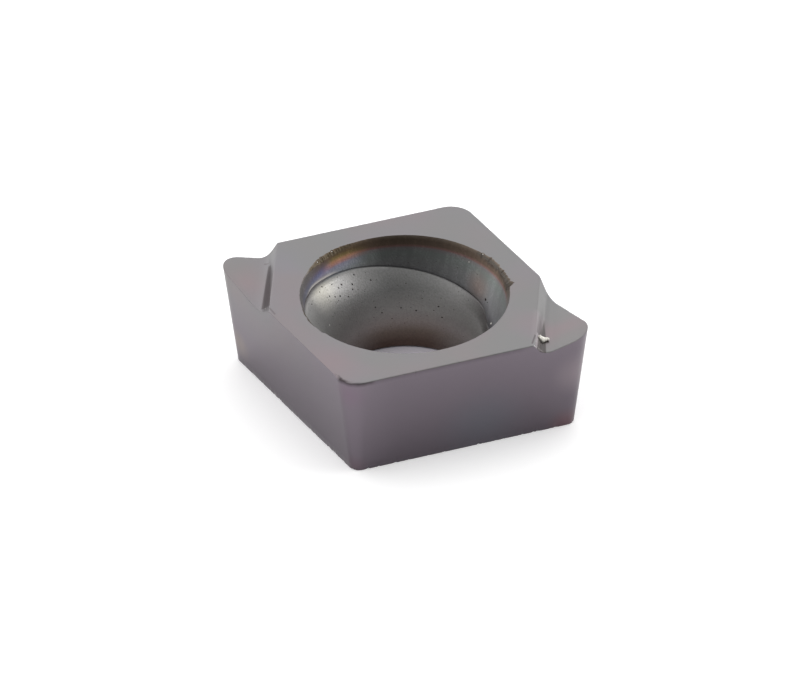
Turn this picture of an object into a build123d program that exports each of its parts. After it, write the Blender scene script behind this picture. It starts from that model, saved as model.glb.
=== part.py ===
from build123d import *
import os
from math import cos, radians, sin, tan

# Indexable turning insert: an 80 degree rhombic carbide insert with 7 degree relief all round,
# a ground chip-breaker across each acute corner and a screw hole with a trumpet-shaped seat.
#
# Millimetres. The origin is where the insert's axis meets its bottom face, +Z points to the
# rake (top) face, and the two acute cutting corners lie on the X axis.

# Outline and flanks
inscribed_circle = 4.30  # diameter of the circle that touches all four top edges
point_angle = 80.0  # included angle of the two cutting corners
relief_angle = 7.0  # every flank leans in by this towards the bottom face
thickness = 1.87
nose_radius = 0.40  # corner rounding at the top face, which narrows to the bottom as a cone

# Screw hole
bore_diameter = 2.40  # clearance bore for the clamp screw
pocket_width = 0.505  # from the bore out to the rim of the pocket that takes the screw's head
clearance_angle = 15.1  # lean of the conical clearance wall under the rim
throat_depth = 1.51  # from the top face down to where the seat runs into the bore
seat_radius = 1.60  # section radius of the convex seat that the screw's head bears on
seat_offset = (0.11, 0.075)  # the pressed seat and bore stand this far off the ground outline

# Chip-breaker ground across each cutting corner
groove_skew = 15.9  # the groove's run leans this far off the square across the corner
groove_width = 0.835  # from the nose's tip to the top of the breaker's wall
nose_drop = 0.045  # depth of the rake floor at the nose's tip
rake_angle = 16.4  # the floor falls inwards from the nose at this slope
breaker_angle = 54.0  # slope of the wall that curls the chip
root_radius = 0.19  # hollow between the floor and the wall

overshoot = 0.5  # cutting tools run this far past the surfaces they break through

# Outline points
half_point = radians(point_angle / 2)
half_length = inscribed_circle / 2 / sin(half_point)
half_width = inscribed_circle / 2 / cos(half_point)
nose_tip = (inscribed_circle / 2 - nose_radius) / sin(half_point) + nose_radius

# Heights and radii of the screw hole
bore_radius = bore_diameter / 2
rim_radius = bore_radius + pocket_width
clearance_lean = tan(radians(clearance_angle))
clearance_depth = throat_depth - seat_radius * sin(radians(clearance_angle))
clearance_foot = rim_radius - clearance_depth * clearance_lean
throat_height = thickness - throat_depth
flare_radius = bore_radius + seat_radius
flare_height = throat_height + seat_radius
pocket_top = max(thickness, flare_height) + overshoot

# The groove's section runs outwards from the insert's axis, square to the groove
tip_reach = nose_tip * cos(radians(groove_skew))
wall_reach = tip_reach - groove_width
floor_fall = tan(radians(rake_angle))
wall_fall = tan(radians(breaker_angle))
floor_drop_at_wall = nose_drop + groove_width * floor_fall
root_reach = wall_reach + floor_drop_at_wall / (wall_fall + floor_fall)
root_drop = (root_reach - wall_reach) * wall_fall

top_face = Plane.XY.offset(thickness)
seat_plane = Plane(origin=(*seat_offset, 0), x_dir=(1, 0, 0), z_dir=(0, -1, 0))


def groove_plane(turn):
    """Section plane of one corner's groove: x runs outwards over the nose, y is height."""
    heading = radians(groove_skew + turn)
    outwards = (cos(heading), sin(heading), 0)
    along_groove = (sin(heading), -cos(heading), 0)
    return Plane(origin=top_face.origin, x_dir=outwards, z_dir=along_groove)


# The void above the bore is a trumpet flare about the seat's own axis, kept only where it lies
# inside the clearance cone about the insert's axis. The two surfaces meet in a crease, and as
# their axes stand apart the crease is higher on one side of the hole than on the other. The
# clearance wall runs down to where the seat has come parallel to it, which is below the crease.
with BuildPart() as head_pocket:
    with BuildSketch(seat_plane):
        with BuildLine():
            RadiusArc((bore_radius, throat_height), (flare_radius, flare_height), seat_radius)
            Polyline(
                (flare_radius, flare_height),
                (flare_radius, pocket_top),
                (0, pocket_top),
                (0, throat_height),
                (bore_radius, throat_height),
            )
        make_face()
    revolve(axis=Axis(seat_plane.origin, (0, 0, 1)))
    with BuildSketch(Plane.XZ):
        with BuildLine():
            Polyline(
                (0, 0),
                (clearance_foot, 0),
                (clearance_foot, thickness - clearance_depth),
                (rim_radius, thickness),
                (rim_radius + overshoot * clearance_lean, thickness + overshoot),
                (0, thickness + overshoot),
                close=True,
            )
        make_face()
    revolve(axis=Axis.Z, mode=Mode.INTERSECT)

with BuildPart() as insert_body:
    # Rhombic blank with rounded corners, its flanks drafted inwards below the cutting edges
    with BuildSketch(top_face) as outline:
        with BuildLine():
            Polyline((half_length, 0), (0, half_width), (-half_length, 0), (0, -half_width), close=True)
        make_face()
        fillet(outline.vertices(), nose_radius)
    extrude(amount=-thickness)
    flanks = insert_body.faces().filter_by(Axis.Z, reverse=True)
    draft(flanks, neutral_plane=top_face, angle=-relief_angle)

    # Screw hole: the bore, then the pocket for the screw's head
    with Locations((*seat_offset, thickness)):
        Hole(bore_radius)
    add(head_pocket.part, mode=Mode.SUBTRACT)

    # One chip-breaker groove for each cutting corner, half a turn apart
    for turn in (0, 180):
        with BuildSketch(groove_plane(turn)) as groove_section:
            with BuildLine():
                Polyline(
                    (wall_reach - overshoot / wall_fall, overshoot),
                    (root_reach, -root_drop),
                    (tip_reach + overshoot, overshoot * floor_fall - nose_drop),
                    (tip_reach + overshoot, overshoot),
                    close=True,
                )
            make_face()
            fillet(groove_section.vertices().sort_by(Axis.Y)[0], root_radius)
        extrude(amount=half_width, both=True, mode=Mode.SUBTRACT)

insert_body.part.label = "insert_body"

os.makedirs("parts", exist_ok=True)
export_step(insert_body.part, "parts/insert_body.step")
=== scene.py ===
import math

import bmesh
import bpy
import numpy as np
from bpy.props import FloatProperty, FloatVectorProperty, IntProperty, PointerProperty
from mathutils import Matrix, Vector, noise
from mathutils.bvhtree import BVHTree


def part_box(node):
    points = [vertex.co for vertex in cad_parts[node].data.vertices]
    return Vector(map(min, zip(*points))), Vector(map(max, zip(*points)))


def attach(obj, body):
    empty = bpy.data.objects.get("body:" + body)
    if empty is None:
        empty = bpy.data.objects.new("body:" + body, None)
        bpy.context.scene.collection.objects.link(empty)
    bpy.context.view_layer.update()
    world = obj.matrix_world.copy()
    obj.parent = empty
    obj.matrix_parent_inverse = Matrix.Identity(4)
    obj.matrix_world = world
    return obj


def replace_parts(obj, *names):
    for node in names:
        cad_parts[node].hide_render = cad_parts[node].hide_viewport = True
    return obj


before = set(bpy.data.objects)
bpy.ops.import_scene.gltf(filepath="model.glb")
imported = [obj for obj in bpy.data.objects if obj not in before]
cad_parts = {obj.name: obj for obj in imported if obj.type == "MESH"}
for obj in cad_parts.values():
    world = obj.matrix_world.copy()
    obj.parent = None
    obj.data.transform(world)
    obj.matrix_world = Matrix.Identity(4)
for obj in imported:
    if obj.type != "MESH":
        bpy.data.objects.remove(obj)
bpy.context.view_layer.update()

bl_info = {
    "name": "Coated Turning Insert",
    "version": (1, 0, 0),
    "blender": (4, 5, 0),
    "location": "View3D > Sidebar > Insert",
    "description": "Builds a coated carbide turning insert and its studio around the CAD frame",
    "category": "Object",
}

MM = 0.001
BODY_LOW, BODY_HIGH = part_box("insert_body")
THICKNESS = (BODY_HIGH.z - BODY_LOW.z) / MM
TURN = 2 * math.pi


# ---------------------------------------------------------------- small helpers

def hex_to_linear(code):
    """Turn an sRGB hex colour such as "8f8a8c" into the linear RGBA that shaders read."""
    channels = [int(code[i:i + 2], 16) / 255 for i in (0, 2, 4)]
    linear = [c / 12.92 if c <= 0.04045 else ((c + 0.055) / 1.055) ** 2.4 for c in channels]
    return (*linear, 1.0)


def add_node(tree, kind, inputs=None, **settings):
    """Add a node, apply its settings, then link or set each of its inputs."""
    node = tree.nodes.new(kind)
    for name, value in settings.items():
        setattr(node, name, value)
    for key, value in (inputs or {}).items():
        if isinstance(value, bpy.types.NodeSocket):
            tree.links.new(value, node.inputs[key])
        else:
            node.inputs[key].default_value = value
    return node


def start_material(name):
    """Start a node material; returns it, its tree, its shader and the Object coordinates."""
    material = bpy.data.materials.new(name)
    material.use_nodes = True
    tree = material.node_tree
    tree.nodes.clear()
    shader = add_node(tree, "ShaderNodeBsdfPrincipled")
    add_node(tree, "ShaderNodeOutputMaterial", {"Surface": shader.outputs["BSDF"]})
    place = add_node(tree, "ShaderNodeTexCoord").outputs["Object"]
    return material, tree, shader, place


def smooth_random(theta, knots, seed):
    """Random values from 0 to 1 on evenly spaced knots round the turn, joined by straight runs."""
    values = np.random.default_rng(seed).random(knots)
    place = np.mod(theta, TURN) / TURN * knots
    low = np.floor(place).astype(int) % knots
    part = place - np.floor(place)
    return values[low] * (1 - part) + values[(low + 1) % knots] * part


def round_table(theta, table):
    """Read a table of (azimuth in degrees, value) at every column, joined round the turn."""
    azimuths, values = zip(*table)
    return np.interp(np.degrees(theta), azimuths, values, period=360)


def bumps(theta, marks):
    """Tallest of the pointed bumps, each an azimuth and half width in degrees and a height."""
    tallest = np.zeros_like(theta)
    for azimuth, half_width, height in marks:
        off = np.abs(np.mod(theta - math.radians(azimuth) + math.pi, TURN) - math.pi)
        tallest = np.maximum(tallest, height * np.clip(1 - off / math.radians(half_width), 0, 1))
    return tallest


def share_round(theta, azimuth, half_width, height):
    """Share from 0 to 1 of a mark that is strongest at one azimuth; degrees."""
    return np.clip(bumps(theta, [(azimuth, half_width, height)]), 0, 1)


def make_piece(name, mesh):
    """Set a finished mesh in the scene as a piece of the insert."""
    piece = bpy.data.objects.new(name, mesh)
    bpy.context.scene.collection.objects.link(piece)
    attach(piece, "root")
    return piece


# ---------------------------------------------------------------- sizes and colours

def length_property(name, description, size, precision=5):
    """Length whose default is given in mm."""
    return FloatProperty(name=name, description=description, default=size * MM,
                         unit="LENGTH", precision=precision)


def angle_property(name, description, degrees):
    """Angle whose default is given in degrees."""
    return FloatProperty(name=name, description=description, default=math.radians(degrees),
                         subtype="ANGLE", unit="ROTATION")


def colour_property(name, description, code):
    """Colour whose default is given as an sRGB hex code."""
    return FloatVectorProperty(name=name, description=description, subtype="COLOR", size=3,
                               default=hex_to_linear(code)[:3])


class InsertBodySettings(bpy.types.PropertyGroup):
    """Sizes of the ground body."""
    inscribed_circle: length_property(
        "Inscribed circle", "Circle that touches all four top edges", 4.30)
    point_angle: angle_property("Point angle", "Included angle of the two cutting corners", 80)
    relief_angle: angle_property(
        "Relief angle", "Inward lean of the flanks below the cutting edges", 7)
    nose_radius: length_property("Nose radius", "Corner rounding at the top face", 0.40)
    hone: length_property("Hone", "Width of the rounding along the cutting edges", 0.018, 6)
    foot_chipping: length_property(
        "Foot chipping", "Tallest crumbled grains along the bottom edge", 0.045, 6)
    columns: IntProperty(
        name="Columns", description="Mesh columns round the insert", default=1200, min=240)


class ScrewHoleSettings(bpy.types.PropertyGroup):
    """Sizes of the pressed screw hole."""
    bore_radius: length_property("Bore radius", "Clearance bore for the clamp screw", 1.20)
    rim_radius: length_property("Rim radius", "Radius of the hole at the top face", 1.705)
    clearance_angle: angle_property(
        "Clearance angle", "Lean of the conical wall under the rim", 15.1)
    throat_depth: length_property(
        "Throat depth", "From the top face down to the top of the bore", 1.51)
    throat_offset: FloatVectorProperty(
        name="Throat offset", description="The throat's centre off the insert's axis",
        default=(0.055 * MM, 0.035 * MM), size=2, unit="LENGTH", precision=6)
    foot_offset: FloatVectorProperty(
        name="Foot offset", description="The centre of the bore's foot off the insert's axis",
        default=(0.0, 0.0), size=2, unit="LENGTH", precision=6)
    crease: length_property(
        "Crease", "Width of the fine furrow where the seat meets the wall", 0.030, 6)


class ChipBreakerSettings(bpy.types.PropertyGroup):
    """Sizes of the groove ground across each cutting corner."""
    skew: angle_property("Skew", "Lean of the groove off the square across the corner", 15.9)
    width: length_property("Width", "From the nose's tip to the top of the wall", 0.835)
    nose_drop: length_property("Nose drop", "Depth of the floor at the nose's tip", 0.045)
    rake_angle: angle_property("Rake angle", "Slope of the floor inwards from the nose", 16.4)
    wall_angle: angle_property("Wall angle", "Slope of the wall that curls the chip", 54)
    root_radius: length_property("Root radius", "Hollow between the floor and the wall", 0.19)
    crest: length_property("Crest", "Half width of the rounding at the top of the wall", 0.012, 6)


class FinishSettings(bpy.types.PropertyGroup):
    """Colours of the coat, as linear reflectances."""
    coat: colour_property("Coat", "Ground faces", "767275")
    coat_pink: colour_property("Pink coat", "Warm patches of the ground faces", "7a7071")
    coat_cool: colour_property("Cool coat", "Cool patches of the ground faces", "727372")
    flank: colour_property("Flank", "Relief faces under the cutting edges", "746c74")
    # Laid on the seat's left and right sides as painted light over the throat's darker colour
    seat: colour_property("Seat", "Unstained sides of the screw seat", "8e8c8b")


class StudioSettings(bpy.types.PropertyGroup):
    """Camera, floor and light."""
    lens: FloatProperty(
        name="Lens", description="Focal length on a 36 mm wide sensor", default=532.02)
    azimuth: angle_property("Azimuth", "Camera's turn about the vertical", 19.46617)
    elevation: angle_property("Elevation", "Camera's height above the horizon", 34.40786)
    roll: angle_property("Roll", "Camera's turn about its own axis", -0.37179)
    distance: length_property("Distance", "From the camera to the insert", 195.43678)
    bright_side: FloatProperty(
        name="Bright side", description="Brightness of the room behind and to the left",
        default=1.98)
    dim_side: FloatProperty(
        name="Dim side", description="Brightness of the room in front and to the right",
        default=0.10)
    card_power: FloatProperty(
        name="Card power", description="Soft lamps that light the screw seat, each with its share",
        default=0.60, unit="POWER", precision=4)
    floor_lift: FloatProperty(
        name="Floor lift", description="Glow that brings the paper floor up to white",
        default=0.22)


# ---------------------------------------------------------------- shape of the body

def outline(theta, depth, body):
    """Distance from the axis to the flank towards theta, at a depth below the top face, in mm."""
    half = body.point_angle / 2
    lean_in = depth * math.tan(body.relief_angle)
    reach = body.inscribed_circle / MM / 2 - lean_in
    corner = body.nose_radius / MM - lean_in
    radius = np.full_like(theta, np.inf)
    for normal in (math.pi / 2 - half, math.pi / 2 + half):
        facing = np.abs(np.cos(theta - normal))
        radius = np.minimum(radius, reach / np.maximum(facing, 1e-6))
    for spread, along in ((math.pi / 2 - half, np.abs(np.cos(theta))),
                          (half, np.abs(np.sin(theta)))):
        centre = (reach - corner) / math.cos(spread)
        across = np.sqrt(np.maximum(1 - along ** 2, 0))
        under_root = corner ** 2 - (centre * across) ** 2
        arc = centre * along + np.sqrt(np.maximum(under_root, 0))
        turned = np.arctan2(arc * across, arc * along - centre)
        radius = np.where((under_root > 0) & (turned < spread), arc, radius)
    return radius


class Groove:
    """Section of the chip-breaker: depth below the top face against the distance from the axis."""

    def __init__(self, body, breaker):
        half = body.point_angle / 2
        nose = body.nose_radius / MM
        tip = (body.inscribed_circle / MM / 2 - nose) / math.sin(half) + nose
        self.skew = breaker.skew
        self.crest = breaker.crest / MM
        self.wall_fall = math.tan(breaker.wall_angle)
        self.floor_fall = math.tan(breaker.rake_angle)
        self.tip_reach = tip * math.cos(self.skew)
        self.wall_reach = self.tip_reach - breaker.width / MM
        self.tip_depth = breaker.nose_drop / MM
        root = breaker.root_radius / MM
        # Centre of the root's rounding: one radius off the wall's and off the floor's line
        wall_lift = root / math.cos(breaker.wall_angle)
        floor_lift = root / math.cos(breaker.rake_angle)
        floor_at_wall = self.tip_depth + breaker.width / MM * self.floor_fall
        self.root = root
        self.centre_reach = self.wall_reach + (
            (floor_at_wall - floor_lift + wall_lift) / (self.wall_fall + self.floor_fall))
        self.centre_depth = (self.centre_reach - self.wall_reach) * self.wall_fall - wall_lift
        self.arc_start = self.centre_reach - root * math.sin(breaker.wall_angle)
        self.arc_end = self.centre_reach + root * math.sin(breaker.rake_angle)

    def depth(self, reach):
        """Depth of the groove at a distance from the axis, square to the groove."""
        from_wall = reach - self.wall_reach
        wall = np.maximum(from_wall, 0) * self.wall_fall
        crest = (from_wall + self.crest) ** 2 / (4 * self.crest) * self.wall_fall
        wall = np.where(np.abs(from_wall) < self.crest, crest, wall)
        off = np.clip(reach - self.centre_reach, -self.root, self.root)
        arc = self.centre_depth + np.sqrt(self.root ** 2 - off ** 2)
        floor = self.tip_depth + (self.tip_reach - reach) * self.floor_fall
        section = np.where(reach < self.arc_start, wall, np.where(reach < self.arc_end, arc, floor))
        return np.maximum(section, 0)

    def reach(self, theta, radius):
        """Distance from the axis, square to the nearer corner's groove."""
        return radius * np.abs(np.cos(theta - self.skew))

    def rows(self):
        """Distances of the mesh rows that follow the groove, from the wall's crest to the nose."""
        crest = [self.wall_reach + self.crest * k for k in (-1, 0, 1)]
        wall = np.linspace(crest[-1], self.arc_start, 4)[1:]
        arc = np.linspace(self.arc_start, self.arc_end, 8)[1:]
        floor = np.linspace(self.arc_end, self.tip_reach, 5)[1:-1]
        return [*crest, *wall, *arc, *floor]


def column_angles(body, groove):
    """Azimuths of the mesh columns: even ones, and one wherever the outline has a corner."""
    angles = list(np.arange(body.columns) * TURN / body.columns)
    half = body.point_angle / 2
    nose = body.nose_radius / MM
    straight = body.inscribed_circle / MM / 2 - nose
    for spread, axis in ((math.pi / 2 - half, 0), (half, math.pi / 2)):
        for sign in (-1, 1):
            x = straight / math.cos(spread) + nose * math.cos(spread)
            tangent = math.atan2(sign * nose * math.sin(spread), x)
            angles += [axis + tangent, axis + tangent + math.pi]
    fine = np.linspace(-math.pi / 2, math.pi / 2, 20001) + groove.skew
    for reach in groove.rows():
        edge = outline(fine, groove.depth(np.array(reach)), body)
        gap = edge * np.cos(fine - groove.skew) - reach
        for i in np.nonzero(gap[:-1] * gap[1:] < 0)[0]:
            crossing = fine[i] + (fine[i + 1] - fine[i]) * gap[i] / (gap[i] - gap[i + 1])
            angles += [crossing, crossing + math.pi]
    angles = np.sort(np.mod(angles, TURN))
    kept = np.diff(angles, append=angles[0] + TURN) > 2e-4
    return angles[kept]


def polar(theta, radius, height, centre=(0, 0)):
    """Points at an angle and a radius about a vertical axis, as rows of x, y and z."""
    height = np.broadcast_to(height, np.shape(theta))
    return np.stack([centre[0] + radius * np.cos(theta),
                     centre[1] + radius * np.sin(theta), height], axis=-1)


# The pressed seat sits askew, so the crease between wall and seat rises and falls round the
# hole: azimuth in degrees, depth in mm
CREASE_DEPTH = [
    (-176, 0.335), (-166, 0.305), (-145, 0.30), (-120, 0.36), (-90, 0.56), (-60, 0.80),
    (-30, 1.00), (0, 1.10),
    (20, 1.10), (35, 1.04), (42, 0.968), (44, 0.912), (46, 0.869), (50, 0.811), (55, 0.773),
    (60, 0.753), (70, 0.712), (80, 0.668), (90, 0.626), (100, 0.586), (110, 0.547), (120, 0.507),
    (130, 0.466), (140, 0.426), (150, 0.395), (156, 0.380), (160, 0.375), (165, 0.365),
    (170, 0.352), (175, 0.341), (180, 0.337),
]
# How strongly the film colours show, by azimuth in degrees
FILM_STRENGTH = [
    (-160, 0.25), (0, 0.20), (14, 0.40), (28, 0.90), (40, 0.90), (120, 1.00), (155, 1.00),
    (166, 0.80), (178, 0.45),
]
# Light and shade painted into the wall's colour, by azimuth in degrees
WALL_TONE = [
    (-170, 0.40), (-150, 0.30), (-120, 0.34), (-40, 0.45), (15, 0.58), (30, 0.80), (38, 0.95),
    (46, 1.20), (58, 0.92), (72, 0.54), (90, 0.34), (108, 0.28), (122, 0.30), (132, 0.48),
    (142, 0.68), (160, 0.68), (176, 0.50),
]
# Ragged stretches of the hole's rim: azimuth and half width in degrees, reach in mm
RAGGED_RIM = [
    (37.0, 15.0, 0.048), (52.0, 16.0, 0.044), (165.0, 13.0, 0.046), (150.0, 12.0, 0.046),
    (157.0, 16.0, 0.040), (-134.0, 15.0, 0.042),
]
# Single broken-out chips along the rim, in the same terms
RIM_CHIPS = [
    (29.0, 3.2, 0.085), (33.0, 1.4, 0.030), (41.5, 1.2, 0.025), (47.5, 1.2, 0.026),
    (55.5, 1.4, 0.022), (61.5, 1.2, 0.030), (153.0, 1.2, 0.020), (161.5, 1.2, 0.018),
    (-122.0, 2.4, 0.022),
]
# Flakes off the top edge: azimuth and half width in degrees, reach in mm
EDGE_FLAKES = [
    (-95.0, 3.0, 0.045), (-91.0, 3.2, 0.030), (-87.0, 3.0, 0.016), (-76.0, 0.9, 0.012),
    (-71.0, 0.6, 0.010), (-66.5, 0.8, 0.014), (-61.0, 0.6, 0.009), (-47.0, 0.7, 0.012),
    (-31.0, 0.6, 0.010), (-14.6, 0.7, 0.012), (12.0, 0.6, 0.010),
]
BROKEN_REACH = 0.015  # a rim broken back this far, in mm, shows bare carbide all over
LAND_GUARD = 0.03  # the top face's outermost plain ring stays this far inside its edge, in mm


def body_rows(body, hole, breaker):
    """Every ring of the body's skin, from the bore's foot round to the bottom face, in mm."""
    groove = Groove(body, breaker)
    theta = column_angles(body, groove)
    bore, rim = hole.bore_radius / MM, hole.rim_radius / MM
    throat_centre = np.array(hole.throat_offset) / MM
    foot_centre = np.array(hole.foot_offset) / MM
    lean = math.tan(hole.clearance_angle)
    throat = THICKNESS - hole.throat_depth / MM

    # The crease lies on the clearance wall; below it each column bows in to the throat
    crease_depth = round_table(theta, CREASE_DEPTH)
    crease_height = THICKNESS - crease_depth
    wall = polar(theta, rim - crease_depth * lean, crease_height)
    reach = wall[:, :2] - throat_centre
    seat_theta = np.arctan2(reach[:, 1], reach[:, 0])
    run = np.hypot(reach[:, 0], reach[:, 1]) - bore
    rise = crease_height - throat
    bow = (run ** 2 + rise ** 2) / (2 * run)
    seat_turn = np.arcsin(rise / bow)

    rows = []
    # Bore, from its foot to the throat
    for part in (0.08, 0.5, 0.85):
        centre = foot_centre + (throat_centre - foot_centre) * part
        rows.append(polar(seat_theta, bore, throat * part, centre))
    # Convex seat, from the throat to the crease
    crease = hole.crease / MM * (1 + bumps(theta, [(178.0, 30.0, 1.6)]))
    last = seat_turn - 0.55 * crease / bow
    for part in np.linspace(0, 1, 24):
        turn = last * part
        rows.append(polar(seat_theta, bore + bow * (1 - np.cos(turn)),
                          throat + bow * np.sin(turn), throat_centre))
    # Crease: a fine furrow left by the press tool
    furrow = rim - crease_depth * lean + 0.42 * crease
    rows.append(polar(theta, furrow, crease_height - 0.15 * crease))
    rows.append(polar(theta, furrow + 0.10 * crease, crease_height + 0.25 * crease))
    crease_rows = (len(rows) - 2, len(rows) - 1)
    foot = crease_height + 0.75 * crease
    rows.append(polar(theta, rim - (THICKNESS - foot) * lean, foot))
    # Clearance wall, up to where the rim's chips begin
    ragged = bumps(theta, RAGGED_RIM)
    teeth = 0.50 + 0.4 * smooth_random(theta, 270, 3) + 0.25 * smooth_random(theta, 700, 11)
    rag = 0.003 + 0.005 * smooth_random(theta, 300, 12) + ragged * teeth
    rag = rag + bumps(theta, RIM_CHIPS) * (0.5 + 0.8 * smooth_random(theta, 640, 4))
    bite = 0.010 + 1.1 * rag
    chip_foot = THICKNESS - bite
    for part in np.linspace(0, 1, 13)[1:]:
        height = foot + (chip_foot - foot) * part
        rows.append(polar(theta, rim - (THICKNESS - height) * lean, height))
    chip_rows = [len(rows) - 1]
    # Rim: a worn or broken slope up to the top face
    for part in (0.35, 0.7):
        rough = 0.6 * rag * (smooth_random(theta, 900, int(part * 100)) - 0.5)
        radius = rim - bite * lean + (rag + bite * lean) * part + rough
        chip_rows.append(len(rows))
        rows.append(polar(theta, radius, THICKNESS - bite * (1 - part) + 0.4 * rough - 0.001))
    chip_rows.append(len(rows))
    rows.append(polar(theta, rim + rag, THICKNESS))
    hole_rows = len(rows)
    # Azimuth masks of painted light and shade round the crease; dull marks the seat rows beside the
    # crease that get painted shade
    lit = share_round(theta, 164.0, 34.0, 1.3)
    shaded = share_round(theta, 28.0, 45.0, 1.4)
    faint = 1 - 0.75 * share_round(theta, 107.0, 42.0, 1.6)
    dull = share_round(theta, 28.0, 44.0, 1.8)
    bright = share_round(theta, 169.0, 18.0, 2.2)
    film_strength = round_table(theta, FILM_STRENGTH)
    wall_tone = round_table(theta, WALL_TONE)
    # The crease mark is painted shade in and beside the furrow and on the seat rows next to it
    marks = {"seat": {row: 1.0 for row in range(crease_rows[0])},
             "crease": {crease_rows[0]: (0.8 - 0.35 * lit) * faint,
                        crease_rows[1]: (0.8 - 0.5 * lit) * faint,
                        crease_rows[1] + 1: 0.4 * (1 - lit) * faint + 0.2 * shaded,
                        crease_rows[1] + 2: 0.5 * shaded, crease_rows[1] + 3: 0.25 * shaded,
                        **{crease_rows[0] - k: share * dull
                           for k, share in enumerate((0.85, 0.8, 0.75, 0.7, 0.6, 0.45, 0.2), 1)}},
             # The lip mark is a painted highlight on the wall just above the crease
             "lip": {crease_rows[1] + 1: bright, crease_rows[1] + 2: 0.35 * bright},
             "film": {row: film_strength for row in range(hole_rows)},
             "tone": {row: wall_tone for row in range(hole_rows)},
             "chipped": {row: np.clip(rag / BROKEN_REACH, 0, 1) * share
                         for row, share in zip(chip_rows, (0.9, 1.0, 0.8, 0.45))}}

    # Top face, out to the rounding of the cutting edge
    edge_radius = outline(theta, np.zeros_like(theta), body)
    for _ in range(12):
        edge_depth = groove.depth(groove.reach(theta, edge_radius))
        edge_radius = outline(theta, edge_depth, body)
    slope = np.gradient(edge_radius, theta) / edge_radius
    skew = np.sqrt(1 + slope ** 2)
    hone = body.hone / MM * (0.8 + 0.4 * smooth_random(theta, 500, 5))
    hone = hone * (1 - 0.8 * share_round(theta, -140.0, 60.0, 3.0))
    flake = bumps(theta, EDGE_FLAKES) * (0.7 + 0.6 * smooth_random(theta, 500, 6))
    top_end = edge_radius - (hone + flake) * skew
    facing = np.maximum(np.abs(np.cos(theta - groove.skew)), 1e-3)
    land = groove.rows()[0] / facing
    land_end = np.minimum(land, top_end)
    ends = []
    guard = 1 - LAND_GUARD / np.maximum(land_end - rim - rag, 2 * LAND_GUARD)
    for part in (0.12, 0.55, guard):
        radius = rim + rag + (land_end - rim - rag) * part
        rows.append(polar(theta, radius, THICKNESS))
        ends.append(None)
    for reach in groove.rows():
        radius = reach / facing
        clipped = radius >= top_end
        radius = np.minimum(radius, top_end)
        rows.append(polar(theta, radius, THICKNESS - groove.depth(groove.reach(theta, radius))))
        ends.append(clipped)
    # Rounding of the cutting edge
    upper = polar(theta, top_end, THICKNESS - groove.depth(groove.reach(theta, top_end)))
    sharp = polar(theta, edge_radius - 0.6 * flake * skew, THICKNESS - edge_depth - 0.5 * flake)
    drop = edge_depth + hone + 0.7 * flake
    lower = polar(theta, outline(theta, drop, body), THICKNESS - drop)
    hone_start = len(rows)
    rows.append(upper)
    for t in (0.3, 0.55, 0.8):
        rows.append((1 - t) ** 2 * upper + 2 * t * (1 - t) * sharp + t * t * lower)
    rows.append(lower)
    # Flank, down to the crumbled grains of the bottom edge
    grain = smooth_random(theta, 700, 8) * smooth_random(theta, 160, 9)
    chip = body.foot_chipping / MM * (0.1 + 1.6 * np.maximum(grain - 0.25, 0))
    flank_start = len(rows) - 1
    for part in (0.04, 0.2, 0.4, 0.6, 0.8, 0.93, 1.0):
        height = (THICKNESS - drop) * (1 - part) + chip * part
        rows.append(polar(theta, outline(theta, THICKNESS - height, body), height))
    bottom = outline(theta, np.full_like(theta, THICKNESS), body)
    rows.append(polar(theta, bottom - 0.2 * chip, 0.45 * chip))
    rows.append(polar(theta, bottom - 0.9 * chip - 0.002, 0.0))
    # Painted shade on the torn corner's facet and the trail under it, and a darker line along the
    # cutting edge
    marks["darkened_edge"] = {}
    torn = share_round(theta, -93.2, 2.6, 1.6)
    trail = share_round(theta, -87.5, 7.0, 3.0)
    line = 0.3 * share_round(theta, -52.0, 36.0, 6.0)
    for row, near, low in zip(range(hone_start, flank_start + 1), (0.6, 0.8, 0.9, 1.0, 0.8),
                              (0.0, 0.0, 0.12, 0.42, 0.8)):
        marks["darkened_edge"][row] = np.maximum.reduce([torn * near, trail * low, line * (low > 0.4)])
    marks["flank"] = {row: 1.0 for row in range(flank_start, len(rows))}
    # Bottom face, in to the bore's edge
    inner = polar(seat_theta, bore + 0.03, 0.0, foot_centre)
    outer = rows[-1]
    for part in (0.06, 0.5, 0.96):
        rows.append(outer + (inner - outer) * part)
    rows.append(inner)
    return np.array(rows), hole_rows, hone_start, ends, marks


def build_body_mesh(body, hole, breaker):
    """Skin the rings into one closed mesh; returns it with each face's ring number."""
    rows, hole_rows, hone_start, ends, marks = body_rows(body, hole, breaker)
    count, columns = rows.shape[:2]
    index = np.arange(count * columns).reshape(count, columns)
    # A groove row that has run into the cutting edge's rounding shares the rounding's vertex
    for k, clipped in enumerate(ends):
        if clipped is not None:
            row = hole_rows + k
            index[row] = np.where(clipped, index[hone_start], index[row])
    below, above = index, np.roll(index, -1, axis=0)
    quads = np.stack([above, np.roll(above, -1, axis=1), np.roll(below, -1, axis=1), below], -1)
    faces, rings = [], []
    for ring, strip in enumerate(quads):
        for quad in strip.tolist():
            corners = list(dict.fromkeys(quad))
            if len(corners) >= 3:
                faces.append(corners)
                rings.append(ring)
    used = np.unique(np.concatenate([np.array(f) for f in faces]))
    renumber = np.full(count * columns, -1)
    renumber[used] = np.arange(len(used))
    points = rows.reshape(-1, 3)[used] * MM
    mesh = bpy.data.meshes.new("insert_body_skin")
    mesh.from_pydata(points.tolist(), [], [[int(renumber[i]) for i in f] for f in faces])
    for name, by_row in marks.items():
        values = np.zeros((count, columns))
        for row, value in by_row.items():
            values[row] = value
        layer = mesh.attributes.new(name, "FLOAT", "POINT")
        layer.data.foreach_set("value", values.reshape(-1)[used])
    mesh.validate()
    return mesh, np.array(rings), hole_rows


# ---------------------------------------------------------------- materials

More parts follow.
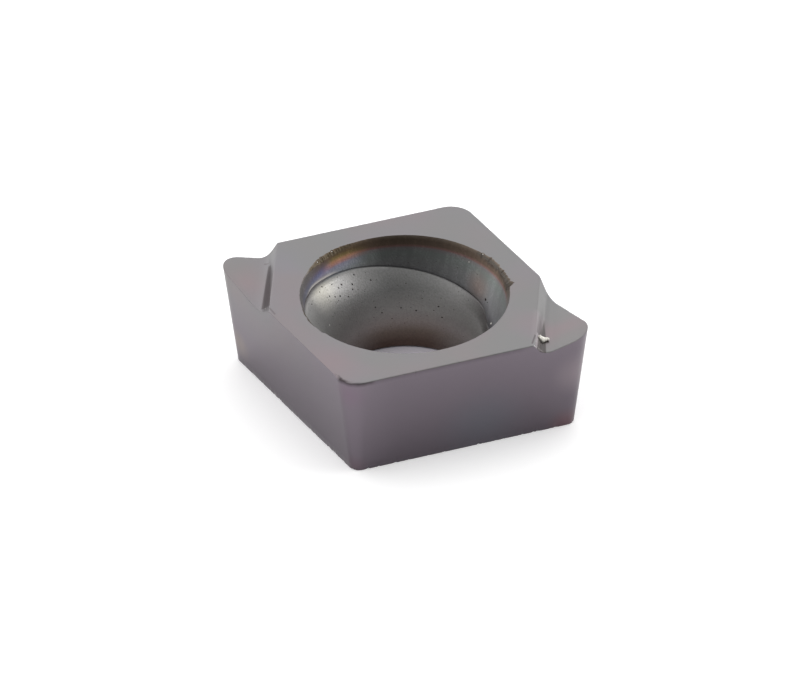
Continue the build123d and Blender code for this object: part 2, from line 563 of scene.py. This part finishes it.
def drift(tree, place, feature, shift, low=0.35, high=0.65):
    """Slow wander from 0 to 1 across a surface; feature is its size in mm."""
    moved = add_node(tree, "ShaderNodeVectorMath", {0: place, 1: shift}, operation="ADD")
    cloud = add_node(tree, "ShaderNodeTexNoise", {
        "Vector": moved.outputs["Vector"], "Scale": 1 / (feature * MM), "Detail": 1.0})
    return add_node(tree, "ShaderNodeMapRange", {
        "Value": cloud.outputs["Fac"], "From Min": low, "From Max": high},
        interpolation_type="SMOOTHSTEP").outputs["Result"]


def lay_over(tree, under, top, *shares):
    """Lay one colour over another as strongly as all its shares multiplied together."""
    strength = shares[0]
    for share in shares[1:]:
        strength = add_node(tree, "ShaderNodeMath", {0: strength, 1: share},
                            operation="MULTIPLY").outputs[0]
    under, top = (hex_to_linear(c) if isinstance(c, str) else c for c in (under, top))
    return add_node(tree, "ShaderNodeMix", {0: strength, 6: under, 7: top},
                    data_type="RGBA").outputs[2]


def gradient(tree, place, axis, start, end, first=0.0, last=1.0):
    """Value that runs from first to last between two places along an axis, in mm."""
    along = add_node(tree, "ShaderNodeSeparateXYZ", {0: place}).outputs[axis]
    return add_node(tree, "ShaderNodeMapRange", {
        "Value": along, "From Min": start * MM, "From Max": end * MM,
        "To Min": first, "To Max": last}).outputs["Result"]


def height_colours(tree, place, start, run, stops):
    """Colour by height over a run from a start; stops are distances in mm and hex colours."""
    fac = gradient(tree, place, "Z", start, start + run)
    node = add_node(tree, "ShaderNodeValToRGB", {"Fac": fac})
    elements = node.color_ramp.elements
    while len(elements) > 1:
        elements.remove(elements[-1])
    elements[0].position = stops[0][0] / abs(run)
    elements[0].color = hex_to_linear(stops[0][1])
    for at, code in stops[1:]:
        elements.new(at / abs(run)).color = hex_to_linear(code)
    return node.outputs["Color"]


def nearness(tree, place, centre, reach):
    """Factor that falls from 1 at a centre to 0 at a reach from it, both in mm."""
    off = add_node(tree, "ShaderNodeVectorMath", {0: place, 1: [MM * v for v in centre]},
                   operation="DISTANCE").outputs["Value"]
    return add_node(tree, "ShaderNodeMapRange", {
        "Value": off, "From Min": reach * MM, "From Max": 0.0},
        interpolation_type="SMOOTHSTEP").outputs["Result"]


def patch(tree, place, corners, soft):
    """Factor that is 1 inside a convex outline, seen from above; corners in mm, anticlockwise."""
    inside = None
    for (x0, y0), (x1, y1) in zip(corners, corners[1:] + corners[:1]):
        length = math.hypot(x1 - x0, y1 - y0)
        inwards = ((y0 - y1) / length, (x1 - x0) / length, 0)
        offset = (inwards[0] * x0 + inwards[1] * y0) * MM
        across = add_node(tree, "ShaderNodeVectorMath", {0: place, 1: inwards},
                          operation="DOT_PRODUCT")
        side = add_node(tree, "ShaderNodeMapRange", {
            "Value": across.outputs["Value"], "From Min": offset - soft * MM / 2,
            "From Max": offset + soft * MM / 2}).outputs["Result"]
        inside = side if inside is None else add_node(
            tree, "ShaderNodeMath", {0: inside, 1: side}, operation="MULTIPLY").outputs[0]
    return inside


# Painted shade and painted light in strips at the chip-breakers' feet: outline in mm from above,
# colour, share and width of the soft border in mm
BREAKER_LIGHT_AND_SHADE = [
    ([(-2.440, 0.235), (-2.145, -0.925), (-1.965, -1.020), (-2.385, 0.215)], "554e50", 0.9, 0.016),
    ([(-2.560, 0.335), (-2.460, 0.312), (-2.452, 0.342), (-2.555, 0.366)], "5f585a", 0.7, 0.014),
    ([(-1.955, -1.100), (-1.800, -1.250), (-1.785, -1.225), (-1.935, -1.080)], "5a5456", 0.7,
     0.014),
    ([(2.144, 0.247), (2.432, -0.763), (2.596, -0.716), (2.308, 0.294)], "868284", 0.35, 0.08),
    ([(2.318, 0.262), (2.395, -0.262), (2.500, -0.760), (2.630, -0.640)], "6a6565", 0.95, 0.016),
    ([(2.330, 0.150), (2.545, -0.720), (2.640, -0.640), (2.440, -0.080)], "4c4848", 0.9, 0.016),
    ([(2.368, -0.300), (2.474, -0.697), (2.506, -0.697), (2.398, -0.300)], "aaa4a8", 0.8, 0.016),
    ([(2.372, -0.420), (2.405, -0.690), (2.430, -0.690), (2.392, -0.420)], "504a4c", 0.8, 0.016),
]

# Pink and lilac tints of the top and the noses, in the same terms as the flanks' tints
TOP_TINTS = [
    ((-2.72, -0.15, 1.80), 0.60, "7f7072", 0.7), ((-0.49, -2.26, 1.87), 0.80, "7d7073", 0.7),
    ((1.41, -1.28, 1.87), 1.00, "7c7173", 0.6), ((2.70, 0.05, 1.78), 0.90, "7c6f72", 0.8),
    ((-2.11, 0.35, 1.87), 0.60, "77727c", 0.7),
]
# Tints of the flanks, partly the coat's own colour and partly painted light and shade: centre and
# reach in mm, colour, share
FLANK_TINTS_AND_SHADE = [
    ((2.78, -0.14, 0.05), 0.40, "7d5c60", 0.50), ((-0.04, -2.62, 1.60), 0.40, "7c6276", 0.28),
    ((2.92, -0.06, 1.10), 0.55, "9a8e92", 0.40), ((-0.02, -2.45, 0.08), 0.30, "6a5058", 0.30),
    ((1.70, -1.10, 0.45), 1.00, "686c74", 0.50), ((-2.72, -0.16, 0.45), 0.40, "92857a", 0.55),
]


def ground_carbide(finish):
    """Ground carbide under a dull mauve nitride coat, a little pinker along the edges."""
    material, tree, shader, place = start_material("ground_coated_carbide")
    shader.inputs["Metallic"].default_value = 1.0
    shader.inputs["Roughness"].default_value = 0.30
    colour = lay_over(tree, (*finish.coat, 1), (*finish.coat_pink, 1),
                      drift(tree, place, 0.9, (0, 0, 0)), 0.35)
    for centre, reach, code, share in TOP_TINTS:
        colour = lay_over(tree, colour, code, nearness(tree, place, centre, reach), share)
    colour = lay_over(tree, colour, (*finish.coat_cool, 1),
                      drift(tree, place, 1.1, (0.01, 0.02, 0)), 0.7)
    # Painted light and shade on the flanks: they pale a little towards the cutting edge, darken
    # towards +X, and the upper part of the left flank is lighter still
    rise = gradient(tree, place, "Z", 0.0, THICKNESS, 0.92, 1.16)
    painted_shade_to_right = gradient(tree, place, "X", -0.2, 0.6, 1.04, 0.88)
    shade = add_node(tree, "ShaderNodeMath", {0: rise, 1: painted_shade_to_right}, operation="MULTIPLY")
    side = add_node(tree, "ShaderNodeVectorMath", {
        0: (*finish.flank,), "Scale": shade.outputs[0]}, operation="SCALE").outputs["Vector"]
    # Painted light: the upper part of the left flank takes the top's coat, made 1.12 times lighter
    high = gradient(tree, place, "Z", 0.7, 1.6)
    far = gradient(tree, place, "X", -0.6, -2.2)
    plain = add_node(tree, "ShaderNodeVectorMath", {0: colour, "Scale": 1.12}, operation="SCALE")
    side = lay_over(tree, side, plain.outputs["Vector"], high, far)
    flank, darkened_edge = (add_node(tree, "ShaderNodeAttribute", attribute_name=name).outputs["Fac"]
                   for name in ("flank", "darkened_edge"))
    colour = lay_over(tree, colour, side, flank)
    upper = gradient(tree, place, "Z", 1.0, 1.1)
    off_flank = add_node(tree, "ShaderNodeMath", {0: 1.0, 1: flank}, operation="SUBTRACT")
    for centre, reach, code, share in FLANK_TINTS_AND_SHADE:
        near = nearness(tree, place, centre, reach)
        colour = lay_over(tree, colour, code, near, flank, share)
    # Painted shade and light on the strips at the chip-breakers' feet
    for corners, code, share, soft in BREAKER_LIGHT_AND_SHADE:
        inside = patch(tree, place, corners, soft)
        colour = lay_over(tree, colour, code, inside, off_flank.outputs["Value"], upper, share)
    # Painted shade on the torn corner and its trail, and the darker line along the cutting edge
    colour = lay_over(tree, colour, "3a3436", darkened_edge)
    tree.links.new(colour, shader.inputs["Base Color"])
    return material


# Colours the thin coat takes on under the rim, by depth in mm: brown, ochre, rose, blue, grey
FILM = [(0.00, "806c5c"), (0.08, "7a6648"), (0.13, "a08a5a"), (0.175, "dba482"),
        (0.22, "cc9c98"), (0.26, "a8a6ba"), (0.31, "b2b4c4"), (0.37, "abb2ba"), (0.44, "adb0b3"),
        (0.60, "ababb0"), (1.00, "8c8c90")]
# The film's far end on the left, where the brown gives way to violet and blue
DEEP_FILM = [(0.00, "7e6e5c"), (0.08, "745c4c"), (0.125, "7c686c"), (0.17, "82749a"),
             (0.215, "868cbc"), (0.257, "b4b0d2"), (0.30, "c0b4ba"), (0.34, "cecaca"),
             (0.60, "a0a0a4")]
# The same on the hole's far and right side, where the film is thinner: brown, a red line, grey
THIN_FILM = [(0.00, "8a7662"), (0.07, "7a6654"), (0.14, "806a58"), (0.175, "a67f78"),
             (0.20, "a09a9a"), (0.27, "9ea6a2"), (0.45, "a6a8a8"), (0.80, "a0a0a4"),
             (1.10, "8c8c90")]
FILM_SPAN = 1.2  # the film ramps reach this far down, in mm
# Seat colour by height above the bottom face, mm: a dark throat, partly stain and partly painted
# shade, then paler pressed carbide
SEAT_TONE = [(0.12, "5a4940"), (0.32, "76695f"), (0.50, "98908a"), (0.72, "a4a2a0"),
             (1.05, "7e7e7d"), (1.40, "848483")]


def pressed_carbide(finish):
    """Pressed and sintered carbide of the screw hole; the thinner coat there shows film colours."""
    material, tree, shader, place = start_material("pressed_coated_carbide")
    shader.inputs["Metallic"].default_value = 0.6
    film, deep, thin = (height_colours(tree, place, THICKNESS, -FILM_SPAN, stops)
                        for stops in (FILM, DEEP_FILM, THIN_FILM))
    strength, tone, on_seat, crease, lip, chipped = (
        add_node(tree, "ShaderNodeAttribute", attribute_name=name).outputs["Fac"]
        for name in ("film", "tone", "seat", "crease", "lip", "chipped"))
    # Film and tone follow the hole round, from the thick film on the left to the thin one
    rightwards = gradient(tree, place, "X", -1.38, -1.05)
    film = lay_over(tree, film, deep, gradient(tree, place, "X", -1.50, -1.60))
    film = lay_over(tree, film, thin, rightwards)
    wall = lay_over(tree, "acacb0", film, strength)
    smudge = nearness(tree, place, (0.80, 1.335, 1.33), 0.36)
    wall = lay_over(tree, wall, "b89a8c", smudge, 0.5)
    # Painted light and shade of the wall, by azimuth from WALL_TONE
    wall = add_node(tree, "ShaderNodeVectorMath", {0: wall, "Scale": tone},
                    operation="SCALE").outputs["Vector"]
    seat = height_colours(tree, place, 0.0, THICKNESS, SEAT_TONE)
    # Painted light: the seat's sides to the left and right of the view are lighter, while its far
    # and near parts keep the throat's darker colour
    aside = add_node(tree, "ShaderNodeVectorMath", {0: place, 1: (0.943, 0.333, 0)},
                     operation="DOT_PRODUCT").outputs["Value"]
    aside = add_node(tree, "ShaderNodeMath", {0: aside}, operation="ABSOLUTE").outputs[0]
    seat_sides_lit = add_node(tree, "ShaderNodeMapRange", {
        "Value": aside, "From Min": 0.30 * MM, "From Max": 1.00 * MM, "To Max": 0.45},
        interpolation_type="SMOOTHSTEP").outputs["Result"]
    seat = lay_over(tree, seat, (*finish.seat, 1), seat_sides_lit)
    # Painted highlight on the seat's upper left, just below the crease
    painted_seat_highlight = nearness(tree, place, (-1.55, 0.22, 1.50), 0.55)
    seat = lay_over(tree, seat, "c2beb0", painted_seat_highlight, 0.45)
    roughness = add_node(tree, "ShaderNodeMapRange", {
        "Value": on_seat, "To Min": 0.50, "To Max": 0.42})
    tree.links.new(roughness.outputs["Result"], shader.inputs["Roughness"])
    colour = lay_over(tree, wall, seat, on_seat)
    # Sintered grains are a few microns wide; drawn at 0.03 mm, the finest that shows
    grain = drift(tree, place, 0.03, (0, 0, 0), 0.3, 0.7)
    # Faint streaks drawn down the wall by the press punch, 0.1 mm wide
    stretched = add_node(tree, "ShaderNodeVectorMath", {0: place, 1: (1, 1, 0.15)},
                         operation="MULTIPLY").outputs["Vector"]
    streak = drift(tree, stretched, 0.10, (0, 0, 0), 0.3, 0.7)
    streak = lay_over(tree, streak, (0.5, 0.5, 0.5, 1), on_seat)
    texture = add_node(tree, "ShaderNodeMath", {0: grain, 1: streak}, operation="MULTIPLY")
    uneven = add_node(tree, "ShaderNodeMapRange", {
        "Value": texture.outputs[0], "To Min": 0.93, "To Max": 1.20}).outputs["Result"]
    colour = add_node(tree, "ShaderNodeVectorMath", {0: colour, "Scale": uneven},
                      operation="SCALE").outputs["Vector"]
    relief = add_node(tree, "ShaderNodeBump", {
        "Height": grain, "Strength": 0.25, "Distance": 0.004 * MM})
    tree.links.new(relief.outputs["Normal"], shader.inputs["Normal"])
    # Painted shade in and beside the crease
    colour = lay_over(tree, colour, "34302f", crease)
    # Painted highlight on the wall's lip above the crease
    colour = lay_over(tree, colour, "e2ded8", lip)
    broken = lay_over(tree, "463b29", "4f4943", rightwards)
    colour = lay_over(tree, colour, broken, chipped)
    tree.links.new(colour, shader.inputs["Base Color"])
    return material


def paper_floor(lift):
    """Matt white paper, whose glow lifts it to plain white for the camera alone."""
    material, tree, shader, place = start_material("matt_white_paper")
    shader.inputs["Roughness"].default_value = 0.9
    shader.inputs["Specular IOR Level"].default_value = 0.0
    seen = add_node(tree, "ShaderNodeLightPath").outputs["Is Camera Ray"]
    # The glow leaves out the paper under the insert, so the bore's foot stays in shade
    out = add_node(tree, "ShaderNodeVectorMath", {0: place}, operation="LENGTH")
    # Painted shadow: the paper within 1.25 mm of the axis, under the insert, is darker, blending to
    # white by 1.5 mm
    clear_of_painted_shadow = add_node(tree, "ShaderNodeMapRange", {
        "Value": out.outputs["Value"], "From Min": 1.25 * MM, "From Max": 1.5 * MM})
    tree.links.new(lay_over(tree, "d6d2da", "f4f4f4", clear_of_painted_shadow.outputs["Result"]),
                   shader.inputs["Base Color"])
    open_paper = add_node(tree, "ShaderNodeMapRange", {
        "Value": out.outputs["Value"], "From Min": 1.4 * MM, "From Max": 2.0 * MM,
        "To Min": 0.0, "To Max": lift})
    glow = add_node(tree, "ShaderNodeMath", {0: seen, 1: open_paper.outputs["Result"]},
                    operation="MULTIPLY")
    tree.links.new(glow.outputs[0], shader.inputs["Emission Strength"])
    shader.inputs["Emission Color"].default_value = (1, 1, 1, 1)
    return material


# Cards low on the right: name, azimuth and height in degrees, size in mm, share of the power
SEAT_CARDS = [("right_card", 24, 19, 280, 100, 0.95), ("rear_card", 50, 9, 200, 100, 0.45),
              ("front_card", -16, 20, 240, 90, 0.18)]
CARD_DISTANCE = 400  # mm, from the insert to each card
AIM_HEIGHT = 0.9  # mm, of the point that the camera turns about
AIM_RIGHT, AIM_UP = 0.01458, 0.07373  # mm, framing of the view off that point
FLOOR_REACH = 1.5  # metres, half the paper's side


# ---------------------------------------------------------------- specks on the skin

# Pits pressed into the hole's skin, each drawn as a dark disc of painted shade: azimuth in degrees,
# depth and radius in mm
PITS = [
    (168.7, 0.396, 0.013), (160.5, 0.460, 0.012), (153.7, 0.532, 0.014), (156.9, 0.550, 0.012),
    (145.7, 0.598, 0.014), (146.7, 0.664, 0.011), (167.5, 0.560, 0.013), (163.1, 0.619, 0.012),
    (158.6, 0.657, 0.014), (152.0, 0.728, 0.012), (161.5, 0.693, 0.011), (173.4, 0.417, 0.011),
    (-171.8, 0.403, 0.011), (142.3, 0.490, 0.012), (132.0, 0.634, 0.012), (132.1, 1.051, 0.014),
    (127.2, 1.168, 0.013), (112.3, 1.131, 0.013), (101.0, 1.182, 0.014), (84.6, 1.064, 0.013),
    (87.8, 1.143, 0.012), (80.9, 1.229, 0.014), (49.9, 0.650, 0.024), (47.5, 0.666, 0.010),
]
FAINT_PITS = 240
# Bright grains that catch the light: place and radius in mm
GRAINS = [
    (-1.538, 0.799, 1.854, 0.012), (0.822, 1.514, 1.856, 0.012), (1.180, 0.860, 0.990, 0.020),
    (0.573, 1.538, 1.634, 0.010), (-1.269, -0.080, 1.028, 0.011), (-1.655, 0.429, 1.858, 0.010),
    (-2.045, -0.990, 1.762, 0.007),
]

# Tufts that make up the crumb of lint: place and radius in mm
LINT_TUFTS = [
    (2.434, -0.350, 1.784, 0.032), (2.458, -0.343, 1.760, 0.036), (2.485, -0.338, 1.738, 0.045),
    (2.505, -0.290, 1.712, 0.034), (2.525, -0.246, 1.698, 0.026), (2.548, -0.236, 1.692, 0.018),
]


def speck_tree():
    """Geometry Nodes tree that sets a flattened grain on every point, turned to the surface."""
    tree = bpy.data.node_groups.new("surface_specks", "GeometryNodeTree")
    for name, kind in (("Points", "Geometry"), ("Flatness", "Float"), ("Seed", "Int"),
                       ("Material", "Material")):
        tree.interface.new_socket(name, in_out="INPUT", socket_type="NodeSocket" + kind)
    tree.interface.new_socket("Specks", in_out="OUTPUT", socket_type="NodeSocketGeometry")
    given = add_node(tree, "NodeGroupInput").outputs
    grain = add_node(tree, "GeometryNodeMeshIcoSphere", {"Radius": 1.0, "Subdivisions": 1})
    size = add_node(tree, "GeometryNodeInputNamedAttribute", {"Name": "size"},
                    data_type="FLOAT").outputs["Attribute"]
    facing = add_node(tree, "GeometryNodeInputNamedAttribute", {"Name": "facing"},
                      data_type="FLOAT_VECTOR").outputs["Attribute"]
    uneven = add_node(tree, "FunctionNodeRandomValue", {
        "Min": (0.75, 0.75, 1.0), "Max": (1.4, 1.1, 1.0), "Seed": given["Seed"]},
        data_type="FLOAT_VECTOR").outputs["Value"]
    flat = add_node(tree, "ShaderNodeCombineXYZ", {"X": 1.0, "Y": 1.0, "Z": given["Flatness"]})
    shape = add_node(tree, "ShaderNodeVectorMath", {0: uneven, 1: flat.outputs["Vector"]},
                     operation="MULTIPLY").outputs["Vector"]
    scale = add_node(tree, "ShaderNodeVectorMath", {0: shape, "Scale": size},
                     operation="SCALE").outputs["Vector"]
    turned = add_node(tree, "FunctionNodeAlignRotationToVector", {"Vector": facing}, axis="Z")
    placed = add_node(tree, "GeometryNodeInstanceOnPoints", {
        "Points": given["Points"], "Instance": grain.outputs["Mesh"],
        "Rotation": turned.outputs["Rotation"], "Scale": scale})
    real = add_node(tree, "GeometryNodeRealizeInstances", {"Geometry": placed.outputs[0]})
    dressed = add_node(tree, "GeometryNodeSetMaterial", {
        "Geometry": real.outputs["Geometry"], "Material": given["Material"]})
    add_node(tree, "NodeGroupOutput", {"Specks": dressed.outputs["Geometry"]})
    return tree


def add_specks(name, marks, flatness, material):
    """Build one piece of specks from marks, each a place, a facing and a radius in mm."""
    mesh = bpy.data.meshes.new(name + "_points")
    mesh.from_pydata([tuple(place) for place, _, _ in marks], [], [])
    facing = mesh.attributes.new("facing", "FLOAT_VECTOR", "POINT")
    facing.data.foreach_set("vector", [v for _, normal, _ in marks for v in normal])
    size = mesh.attributes.new("size", "FLOAT", "POINT")
    size.data.foreach_set("value", [radius * MM for _, _, radius in marks])
    points = bpy.data.objects.new(name + "_points", mesh)
    bpy.context.scene.collection.objects.link(points)
    tree = speck_tree()
    modifier = points.modifiers.new("specks", "NODES")
    modifier.node_group = tree
    sockets = {item.name: item.identifier for item in tree.interface.items_tree
               if item.in_out == "INPUT"}
    modifier[sockets["Flatness"]] = flatness
    modifier[sockets["Seed"]] = 7
    modifier[sockets["Material"]] = material
    solved = points.evaluated_get(bpy.context.evaluated_depsgraph_get())
    made = bpy.data.meshes.new_from_object(solved)
    points.modifiers.remove(modifier)
    bpy.data.objects.remove(points)
    made.name = name
    make_piece(name, made)


def skin_tree():
    """Search tree of the finished body's skin."""
    mesh = bpy.data.objects["coated_insert"].data
    return BVHTree.FromPolygons([v.co for v in mesh.vertices], [p.vertices for p in mesh.polygons])


def hole_mark(skin, azimuth, depth, radius):
    """Place and facing of the hole's skin, looking outwards from the axis at a depth in mm."""
    turn = math.radians(azimuth)
    place, normal, face, _ = skin.ray_cast(
        Vector((0, 0, (THICKNESS - depth) * MM)), Vector((math.cos(turn), math.sin(turn), 0)))
    if face is None:
        raise RuntimeError("no skin towards the pit at %g degrees" % azimuth)
    return place, normal, radius


def speck_finish(name, code, roughness):
    """Plain matt finish of a speck too small to show more than its colour."""
    material, tree, shader, place = start_material(name)
    tone = drift(tree, place, 0.05, (0, 0, 0))
    first = hex_to_linear(code)
    second = (*(0.7 * c for c in first[:3]), 1)
    tree.links.new(lay_over(tree, first, second, tone), shader.inputs["Base Color"])
    shader.inputs["Roughness"].default_value = roughness
    return material


# ---------------------------------------------------------------- operators

class INSERT_OT_body(bpy.types.Operator):
    """Build the coated body with its hole, chip-breakers and worn edges"""
    bl_idname = "insert.body"
    bl_label = "Insert Body"

    def execute(self, context):
        scene = context.scene
        mesh, rings, hole_rows = build_body_mesh(
            scene.insert_body, scene.insert_hole, scene.insert_breaker)
        mesh.materials.append(ground_carbide(scene.insert_finish))
        mesh.materials.append(pressed_carbide(scene.insert_finish))
        mesh.polygons.foreach_set("material_index", (rings < hole_rows - 1).astype(np.int32))
        mesh.polygons.foreach_set("use_smooth", np.ones(len(mesh.polygons), dtype=bool))
        mesh.set_sharp_from_angle(angle=math.radians(32))
        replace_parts(make_piece("coated_insert", mesh), "insert_body")
        return {"FINISHED"}


class INSERT_OT_pits(bpy.types.Operator):
    """Scatter dark flattened discs over the pressed seat, painted shade of its small pits"""
    bl_idname = "insert.pits"
    bl_label = "Seat Pits"

    def execute(self, context):
        skin = skin_tree()
        marks = [hole_mark(skin, azimuth, depth, 1.25 * radius) for azimuth, depth, radius in PITS]
        chance = np.random.default_rng(21)
        for _ in range(FAINT_PITS):
            azimuth = chance.uniform(60, 200)
            depth = chance.uniform(0.35, 1.45)
            marks.append(hole_mark(skin, azimuth, depth, 0.004 + 0.005 * chance.random() ** 2))
        add_specks("seat_pit_shadows", marks, 0.25, speck_finish("open_pore_shadow", "3c3836", 0.9))
        return {"FINISHED"}


class INSERT_OT_grains(bpy.types.Operator):
    """Set the few bright grains that stand on the skin"""
    bl_idname = "insert.grains"
    bl_label = "Bright Grains"

    def execute(self, context):
        skin = skin_tree()
        marks = []
        for x, y, z, radius in GRAINS:
            place, normal, _, _ = skin.find_nearest(Vector((x, y, z)) * MM)
            # No grain stands proud of the ground top face
            place.z = min(place.z, (THICKNESS - radius) * MM)
            marks.append((place, normal, radius))
        add_specks("bright_grains", marks, 0.6, speck_finish("broken_carbide_grain", "e9e6df", 0.4))
        return {"FINISHED"}


class INSERT_OT_lint(bpy.types.Operator):
    """Lay the crumb of lint on the chip-breaker's wall"""
    bl_idname = "insert.lint"
    bl_label = "Lint"

    def execute(self, context):
        # Made at millimetres as units, because the voxels would be too small in metres
        build = bmesh.new()
        for x, y, z, radius in LINT_TUFTS:
            bmesh.ops.create_icosphere(build, subdivisions=3, radius=radius,
                                       matrix=Matrix.Translation((x, y, z)))
        # Vector noise starts from the clock unless it is given a seed
        noise.seed_set(1)
        for vertex in build.verts:
            vertex.co += 0.012 * noise.noise_vector(vertex.co * 38)
        mesh = bpy.data.meshes.new("lint_tufts")
        build.to_mesh(mesh)
        build.free()
        tufts = bpy.data.objects.new("lint_tufts", mesh)
        context.scene.collection.objects.link(tufts)
        merge = tufts.modifiers.new("merge", "REMESH")
        merge.mode = "VOXEL"
        merge.voxel_size = 0.005
        merge.use_smooth_shade = True
        made = bpy.data.meshes.new_from_object(
            tufts.evaluated_get(context.evaluated_depsgraph_get()))
        bpy.data.objects.remove(tufts)
        made.transform(Matrix.Scale(MM, 4))
        made.name = "lint_crumb"
        made.materials.clear()
        made.materials.append(speck_finish("matt_paper_lint", "eeebe2", 0.95))
        make_piece("lint_crumb", made)
        return {"FINISHED"}


class INSERT_OT_studio(bpy.types.Operator):
    """Build the camera, the paper floor and the soft light"""
    bl_idname = "insert.studio"
    bl_label = "Studio"

    def execute(self, context):
        scene = context.scene
        studio = scene.insert_studio
        self.add_camera(scene, studio)
        self.add_floor(scene, studio)
        self.add_light(scene, studio)
        scene.view_settings.view_transform = "Standard"
        return {"FINISHED"}

    def add_camera(self, scene, studio):
        turn, rise = studio.azimuth, studio.elevation
        back = Vector((math.sin(turn) * math.cos(rise), -math.cos(turn) * math.cos(rise),
                       math.sin(rise)))
        level = Vector((math.cos(turn), math.sin(turn), 0))
        right = Matrix.Rotation(studio.roll, 3, back) @ level
        up = back.cross(right)
        aim = Vector((0, 0, AIM_HEIGHT * MM)) + right * AIM_RIGHT * MM + up * AIM_UP * MM
        camera = bpy.data.cameras.new("studio_camera")
        camera.lens = studio.lens
        camera.sensor_width = 36
        camera.clip_start = 10 * MM
        camera.clip_end = 10
        holder = bpy.data.objects.new("studio_camera", camera)
        turned = Matrix((right, up, back)).transposed().to_4x4()
        holder.matrix_world = Matrix.Translation(aim + back * studio.distance) @ turned
        scene.collection.objects.link(holder)
        scene.camera = holder

    def add_floor(self, scene, studio):
        mesh = bpy.data.meshes.new("paper_floor")
        corners = [(x * FLOOR_REACH, y * FLOOR_REACH, 0)
                   for x, y in ((-1, -1), (1, -1), (1, 1), (-1, 1))]
        mesh.from_pydata(corners, [], [(0, 1, 2, 3)])
        mesh.materials.append(paper_floor(studio.floor_lift))
        floor = bpy.data.objects.new("paper_floor", mesh)
        scene.collection.objects.link(floor)

    def add_light(self, scene, studio):
        world = bpy.data.worlds.new("studio_room")
        world.use_nodes = True
        tree = world.node_tree
        tree.nodes.clear()
        place = add_node(tree, "ShaderNodeTexCoord").outputs["Generated"]
        facing = add_node(tree, "ShaderNodeVectorMath", {0: place, 1: (-0.80, 0.50, 0.35)},
                          operation="DOT_PRODUCT")
        glow = add_node(tree, "ShaderNodeMapRange", {
            "Value": facing.outputs["Value"], "From Min": -0.75, "From Max": 0.58,
            "To Min": studio.dim_side, "To Max": studio.bright_side},
            interpolation_type="LINEAR")
        sky = add_node(tree, "ShaderNodeBackground", {"Strength": glow.outputs["Result"]})
        add_node(tree, "ShaderNodeOutputWorld", {"Surface": sky.outputs["Background"]})
        scene.world = world
        # Small cards low on the right, whose soft glints lie on the far side of the screw seat
        for name, turn, rise, wide, high, share in SEAT_CARDS:
            lamp = bpy.data.lights.new(name, "AREA")
            lamp.shape = "ELLIPSE"
            lamp.size = wide * MM
            lamp.size_y = high * MM
            lamp.energy = studio.card_power * share
            holder = bpy.data.objects.new(name, lamp)
            turn, rise = math.radians(turn), math.radians(rise)
            away = Vector((math.cos(turn) * math.cos(rise), math.sin(turn) * math.cos(rise),
                           math.sin(rise)))
            holder.matrix_world = (Matrix.Translation(away * CARD_DISTANCE * MM)
                                   @ away.to_track_quat("Z", "Y").to_matrix().to_4x4())
            scene.collection.objects.link(holder)


class INSERT_PT_panel(bpy.types.Panel):
    """Sidebar panel with the insert's sizes and its operators"""
    bl_label = "Turning Insert"
    bl_idname = "INSERT_PT_panel"
    bl_space_type = "VIEW_3D"
    bl_region_type = "UI"
    bl_category = "Insert"

    def draw(self, context):
        scene = context.scene
        for group in SETTINGS:
            box = self.layout.box()
            settings = getattr(scene, group)
            for name in settings.__annotations__:
                box.prop(settings, name)
        for operator in OPERATORS:
            self.layout.operator(operator.bl_idname)


SETTINGS = {
    "insert_body": InsertBodySettings,
    "insert_hole": ScrewHoleSettings,
    "insert_breaker": ChipBreakerSettings,
    "insert_finish": FinishSettings,
    "insert_studio": StudioSettings,
}
OPERATORS = (INSERT_OT_studio, INSERT_OT_body, INSERT_OT_pits, INSERT_OT_grains, INSERT_OT_lint)
CLASSES = (*SETTINGS.values(), *OPERATORS, INSERT_PT_panel)


def register():
    for cls in CLASSES:
        bpy.utils.register_class(cls)
    for name, group in SETTINGS.items():
        setattr(bpy.types.Scene, name, PointerProperty(type=group))


def unregister():
    for name in SETTINGS:
        delattr(bpy.types.Scene, name)
    for cls in reversed(CLASSES):
        bpy.utils.unregister_class(cls)


def main():
    register()
    bpy.ops.insert.studio()
    bpy.ops.insert.body()
    bpy.ops.insert.pits()
    bpy.ops.insert.grains()
    bpy.ops.insert.lint()


if __name__ == "__main__":
    main()
